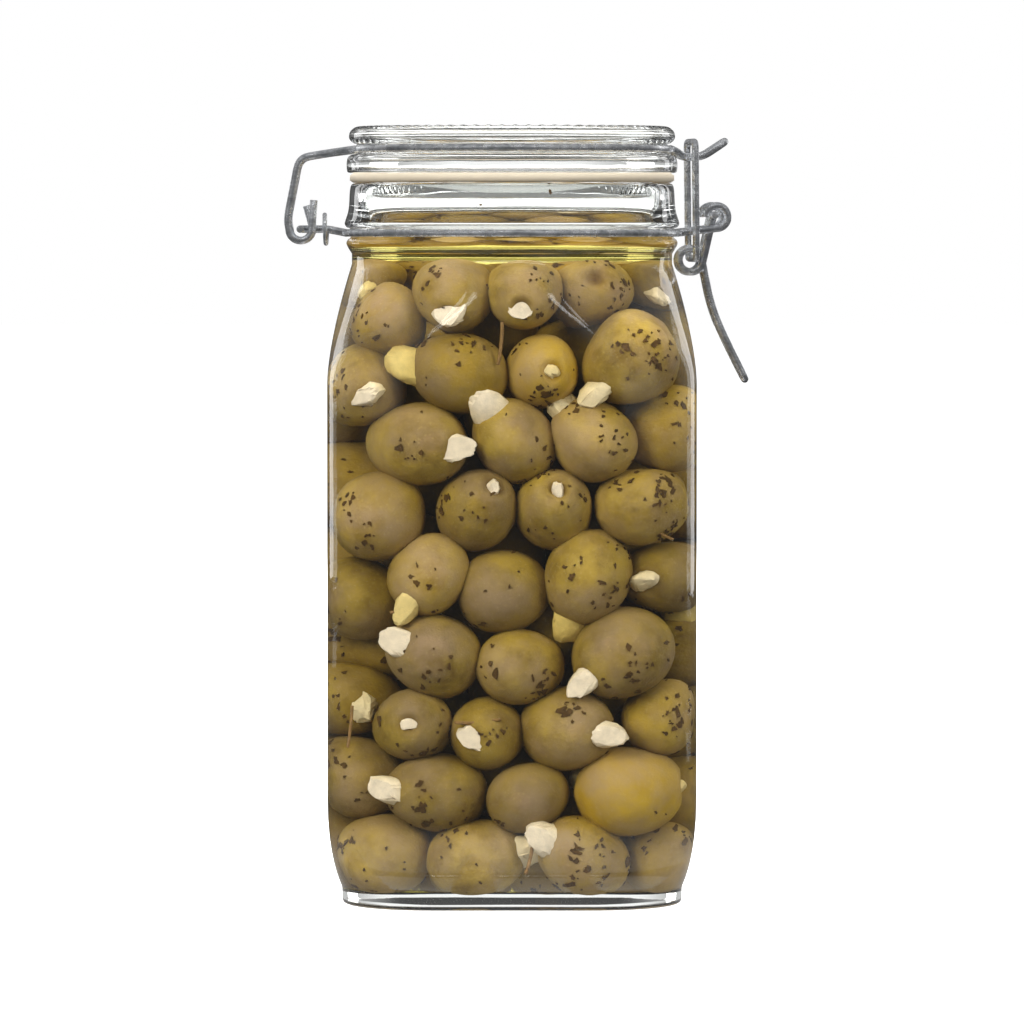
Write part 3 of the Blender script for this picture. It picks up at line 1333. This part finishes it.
def white_floor(scene, colour):
    """A wide floor that fades to white, and is dim where the glass or the olives see it."""
    mesh = bpy.data.meshes.new("floor")
    spots = [share * FLOOR_REACH for share in (-1, -0.05, -0.02, 0.02, 0.05, 1)]
    points = [(x, y, -0.0002) for y in spots for x in spots]
    faces = [(r * 6 + c, r * 6 + c + 1, r * 6 + c + 7, r * 6 + c + 6) for r in range(5) for c in range(5)]
    mesh.from_pydata(points, [], faces)
    floor = bpy.data.objects.new("floor", mesh)
    scene.collection.objects.link(floor)
    material, tree, out, shader = new_material(
        "White floor", Roughness=0.6, IOR=1.0, Emission_Color=(1.0, 1.0, 1.0, 1.0), Emission_Strength=0.75)
    tone = mottle(tree, Dark=darker(colour, 0.98), Light=colour, Scale=6.0)
    feed(tree, tone["Colour"], shader.inputs["Base Color"])
    path = node(tree, "ShaderNodeLightPath").outputs
    away = node(tree, "ShaderNodeVectorMath", {0: object_place(tree)}, operation="LENGTH")
    fade = ranged(tree, away.outputs["Value"], 0.5, 0.08, 0.07, 0.2, "SMOOTHSTEP")
    dim = node(tree, "ShaderNodeEmission", {"Strength": fade})
    either = reckon(tree, "MAXIMUM", mirrored_once(tree, path), path["Is Diffuse Ray"])
    mix = node(tree, "ShaderNodeMixShader", {0: either, 1: shader.outputs[0], 2: dim.outputs[0]})
    feed(tree, mix.outputs[0], out.inputs["Surface"])
    mesh.materials.append(material)
    return floor


def soft_lamp(scene, name, place, aim, size, power, seen):
    """A large soft lamp; an unseen one lights the scene and shows in no mirror."""
    data = bpy.data.lights.new(name, "AREA")
    data.shape = "RECTANGLE"
    data.size, data.size_y = size
    data.energy = power
    lamp = bpy.data.objects.new(name, data)
    scene.collection.objects.link(lamp)
    lamp.location = place
    lamp.visible_glossy = seen
    lamp.visible_transmission = seen
    lamp.rotation_mode = "QUATERNION"
    lamp.rotation_quaternion = (Vector(aim) - Vector(place)).to_track_quat("-Z", "Y")


FLOOR_REACH = 12.0
MIDDLE = (0, 0, 0.12)

# Name, place, aim, width and height, and power as a share of the key lamp's
UNSEEN_LAMPS = (
    ("lamp_left", (-1.3, -1.5, 1.1), MIDDLE, (1.1, 1.5), 1.0),
    ("lamp_right", (1.6, -1.1, 0.8), MIDDLE, (0.6, 1.4), 0.45),
    ("lamp_top", (0.1, 0.3, 1.7), MIDDLE, (1.6, 1.2), 0.7),
    ("lamp_back", (-0.3, 2.0, 0.9), MIDDLE, (1.6, 1.2), 0.6),
)

# The same, with power in watts: these show in the glass
SEEN_LAMPS = (
    ("strip_high", (0.0, -1.5, 1.9), (0, 0, 0.2), (1.8, 0.14), 2.6),
    ("rim_left", (-1.25, 1.55, 0.3), MIDDLE, (0.55, 1.3), 4.2),
    ("rim_right", (1.25, 1.55, 0.3), MIDDLE, (0.55, 1.3), 4.2),
)

LIGHT_LIMITS = {
    "max_bounces": 12, "transmission_bounces": 11, "glossy_bounces": 3, "transparent_max_bounces": 16,
    "diffuse_bounces": 2, "caustics_reflective": False, "caustics_refractive": False,
    "use_adaptive_sampling": True, "adaptive_threshold": 0.02, "use_denoising": True,
    "sample_clamp_indirect": 4.0,
}


class OLIVEJAR_OT_stage(JarOperator, bpy.types.Operator):
    """Set the white floor, the soft lamps and the camera"""
    bl_idname = "olivejar.stage"
    bl_label = "Stage"

    def execute(self, context):
        scene = context.scene
        finish = scene.jar_stage
        floor = white_floor(scene, finish.floor)
        white_room(scene, finish.surround)
        for name, place, aim, size, share in UNSEEN_LAMPS:
            soft_lamp(scene, name, place, aim, size, finish.key * share, False)
        for name, place, aim, size, power in SEEN_LAMPS:
            soft_lamp(scene, name, place, aim, size, power, True)
        data = bpy.data.cameras.new("camera")
        data.sensor_width = 36.0
        data.lens = 278.8
        camera = bpy.data.objects.new("camera", data)
        scene.collection.objects.link(camera)
        camera.location = (0.0, -2.3, 0.198)
        camera.rotation_euler = (math.radians(90 - 2.14), 0.0, 0.0)
        scene.camera = camera
        scene.view_settings.view_transform = "Standard"
        for name, value in LIGHT_LIMITS.items():
            setattr(scene.cycles, name, value)
        return self.done("floor")


PIECES = (
    OLIVEJAR_OT_jar, OLIVEJAR_OT_lid, OLIVEJAR_OT_seal, OLIVEJAR_OT_neck_wires, OLIVEJAR_OT_lid_wire,
    OLIVEJAR_OT_clasp, OLIVEJAR_OT_oil, OLIVEJAR_OT_olives, OLIVEJAR_OT_nuts, OLIVEJAR_OT_herbs,
    OLIVEJAR_OT_stage)
FINISHES = {
    "jar_glass": GlassFinish, "jar_wire": WireFinish, "jar_oil": OilFinish, "jar_olives": OliveFinish,
    "jar_stage": StageFinish}


class OLIVEJAR_PT_panel(bpy.types.Panel):
    """Buttons and sizes for the jar of olives"""
    bl_idname = "OLIVEJAR_PT_panel"
    bl_label = "Olive jar"
    bl_space_type = "VIEW_3D"
    bl_region_type = "UI"
    bl_category = "Olive jar"

    def draw(self, context):
        for one in PIECES:
            self.layout.operator(one.bl_idname)
        for key in FINISHES:
            box = self.layout.box()
            group = getattr(context.scene, key)
            for name in group.__annotations__:
                box.prop(group, name)


def register():
    for one in (*FINISHES.values(), *PIECES, OLIVEJAR_PT_panel):
        bpy.utils.register_class(one)
    for key, group in FINISHES.items():
        setattr(bpy.types.Scene, key, bpy.props.PointerProperty(type=group))


def unregister():
    for key in FINISHES:
        delattr(bpy.types.Scene, key)
    for one in reversed((*FINISHES.values(), *PIECES, OLIVEJAR_PT_panel)):
        bpy.utils.unregister_class(one)


def main():
    register()
    for one in PIECES:
        group, name = one.bl_idname.split(".")
        getattr(getattr(bpy.ops, group), name)()


if __name__ == "__main__":
    main()
